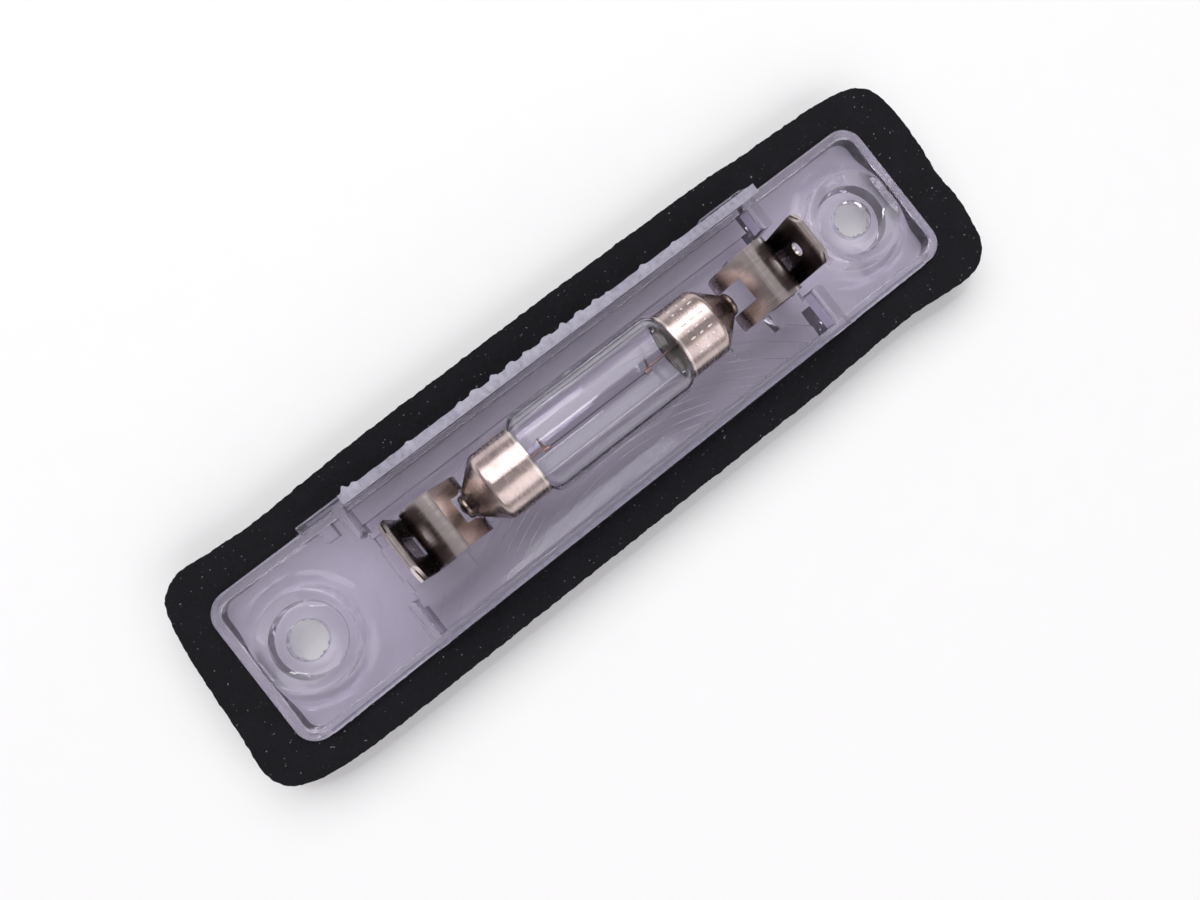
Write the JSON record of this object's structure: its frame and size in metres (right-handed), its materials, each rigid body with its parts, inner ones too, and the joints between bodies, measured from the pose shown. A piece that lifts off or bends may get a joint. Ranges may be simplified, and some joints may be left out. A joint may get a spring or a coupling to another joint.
{
  "type": "number plate lamp",
  "caption": "Slim number plate lamp seen from the back: clear lens moulding in a black foam gasket, with a festoon bulb held between spring contacts with spade tabs.",
  "frame": {"origin": "under the middle of the gasket outline, on the flat front face of the lens", "axes": "+X along the lamp from the end with the wide terminal tab to the end with the narrow one, +Y to the long wall with the overhanging lip, +Z to the back of the lamp, where the terminal tabs stand"},
  "size_m": [0.1028, 0.0284, 0.0169],
  "materials": {
    "clear_plastic": "clear, moulded gloss",
    "foam": "matt closed-cell foam",
    "contact_strip": "rolled and plated, slightly tarnished",
    "bulb_glass": "clear drawn tube",
    "cap_metal": "bright nickel plating",
    "tungsten": "dark drawn wire",
    "lead_wire": "drawn wire",
    "solder": "dull tin",
    "cement": "matt, gritty"
  },
  "bodies": {
    "root": {"lens": "clear_plastic", "foam_gasket": "foam", "contact_left": "contact_strip", "contact_right": "contact_strip", "bulb_glass": "bulb_glass", "bulb_cap_left": "cap_metal", "bulb_cap_right": "cap_metal", "filament": "tungsten", "lead_wire_left": "lead_wire", "lead_wire_right": "lead_wire", "solder_tip_left": "solder", "solder_tip_right": "solder", "cement_left": "cement", "cement_right": "cement"}
  },
  "joints": []
}
